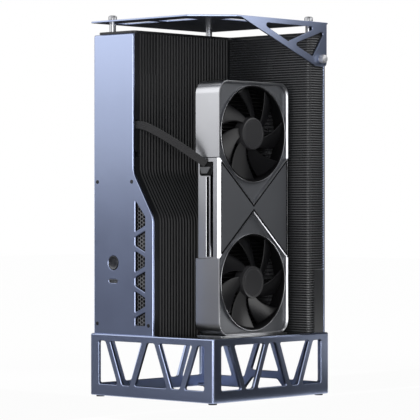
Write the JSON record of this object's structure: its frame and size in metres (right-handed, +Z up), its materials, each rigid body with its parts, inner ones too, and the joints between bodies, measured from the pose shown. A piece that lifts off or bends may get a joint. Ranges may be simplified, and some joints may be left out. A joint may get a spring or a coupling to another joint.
{
  "type": "external graphics card enclosure",
  "caption": "Open-frame dock for an external graphics card: truss base, ribbed tower with power supply, ribbed back wall with card slot, top plate with gusset, card installed.",
  "frame": {"origin": "on the floor, in the middle of the object's outline", "axes": "+Z up, front panel towards -Y, card fans towards +X"},
  "size_m": [0.211, 0.211, 0.4642],
  "materials": {
    "anodised_blue": "bead-blasted and anodised blue-grey aluminium",
    "black_anodised": "black anodised ribbed aluminium",
    "black_sheet": "black powder-coated steel sheet",
    "rubber_black": "moulded black rubber",
    "button_metal": "spun dark anodised aluminium",
    "steel": "machined steel",
    "dark_steel": "blackened steel",
    "silver": "die-cast aluminium, bead-blasted and clear anodised",
    "card_grey": "dark grey coated aluminium",
    "fan_black": "moulded dark grey plastic",
    "fins": "dark coated aluminium fins",
    "board": "black circuit board",
    "socket_plastic": "moulded black plastic",
    "cable_sleeve": "black sleeved wires",
    "brass_pin": "plated brass"
  },
  "bodies": {
    "dock": {"base_frame": "anodised_blue", "rubber_feet": "rubber_black", "deck_plate": "black_sheet", "front_panel": "anodised_blue", "front_panel_screws": "dark_steel", "front_vent_mesh": "black_sheet", "button_switch": "socket_plastic", "front_port": "dark_steel", "tower_rib_cover": "black_anodised", "psu_case": "black_sheet", "side_panel": "anodised_blue", "back_panel": "anodised_blue", "back_panel_screws": "dark_steel", "host_port": "steel", "mains_inlet": "socket_plastic", "inlet_pins": "brass_pin", "switch_frame": "socket_plastic", "wall_rib_cover": "black_anodised", "slot_board": "board", "card_slot": "socket_plastic", "top_cap": "black_sheet", "top_plate": "anodised_blue", "top_posts": "steel", "card_frame": "silver", "card_centre_panel": "card_grey", "fan_plate_upper": "card_grey", "fan_plate_lower": "card_grey", "fan_trim_rings": "silver", "fan_motor_upper": "fan_black", "fan_motor_lower": "fan_black", "card_heatsink": "fins", "card_backplate": "card_grey", "card_board": "board", "graphics_chip": "steel", "card_bracket": "steel", "display_sockets": "dark_steel", "card_power_socket": "socket_plastic", "power_plug": "socket_plastic", "power_cable": "cable_sleeve"},
    "psu_fan_rotor": {"psu_fan_rotor": "fan_black"},
    "power_button": {"power_button": "button_metal"},
    "rocker_switch": {"rocker_switch": "socket_plastic"},
    "thumb_nut_front": {"thumb_nut_front": "steel"},
    "thumb_nut_left": {"thumb_nut_left": "steel"},
    "thumb_nut_right": {"thumb_nut_right": "steel"},
    "side_screw": {"side_screw": "steel"},
    "fan_rotor_upper": {"fan_rotor_upper": "fan_black"},
    "fan_rotor_lower": {"fan_rotor_lower": "fan_black"}
  },
  "joints": [
    {"name": "fan_upper_spin", "type": "hinge", "parent": "dock", "child": "fan_rotor_upper", "pos_m": [0.055, 0.00095, 0.3188], "axis": [1, 0, 0], "continuous": true},
    {"name": "fan_lower_spin", "type": "hinge", "parent": "dock", "child": "fan_rotor_lower", "pos_m": [0.055, 0.00095, 0.1402], "axis": [1, 0, 0], "continuous": true},
    {"name": "psu_fan_spin", "type": "hinge", "parent": "dock", "child": "psu_fan_rotor", "pos_m": [-0.085, 0.029, 0.145], "axis": [1, 0, 0], "continuous": true},
    {"name": "thumb_nut_front_turn", "type": "hinge", "parent": "dock", "child": "thumb_nut_front", "pos_m": [-0.085, -0.087, 0.46], "axis": [0, 0, 1], "continuous": true},
    {"name": "thumb_nut_left_turn", "type": "hinge", "parent": "dock", "child": "thumb_nut_left", "pos_m": [-0.085, 0.087, 0.46], "axis": [0, 0, 1], "continuous": true},
    {"name": "thumb_nut_right_turn", "type": "hinge", "parent": "dock", "child": "thumb_nut_right", "pos_m": [0.0805, 0.087, 0.46], "axis": [0, 0, 1], "continuous": true},
    {"name": "side_screw_turn", "type": "hinge", "parent": "dock", "child": "side_screw", "pos_m": [0.1, 0.09, 0.4115], "axis": [1, 0, 0], "continuous": true},
    {"name": "power_button_press", "type": "slide", "parent": "dock", "child": "power_button", "axis": [0, 1, 0], "range_m": [0, 0.0012], "stiffness_N_per_m": 600, "springref_m": -0.0005},
    {"name": "rocker_switch_tilt", "type": "hinge", "parent": "dock", "child": "rocker_switch", "pos_m": [-0.0565, 0.096, 0.134], "axis": [1, 0, 0], "range_deg": [-16, 0]}
  ]
}
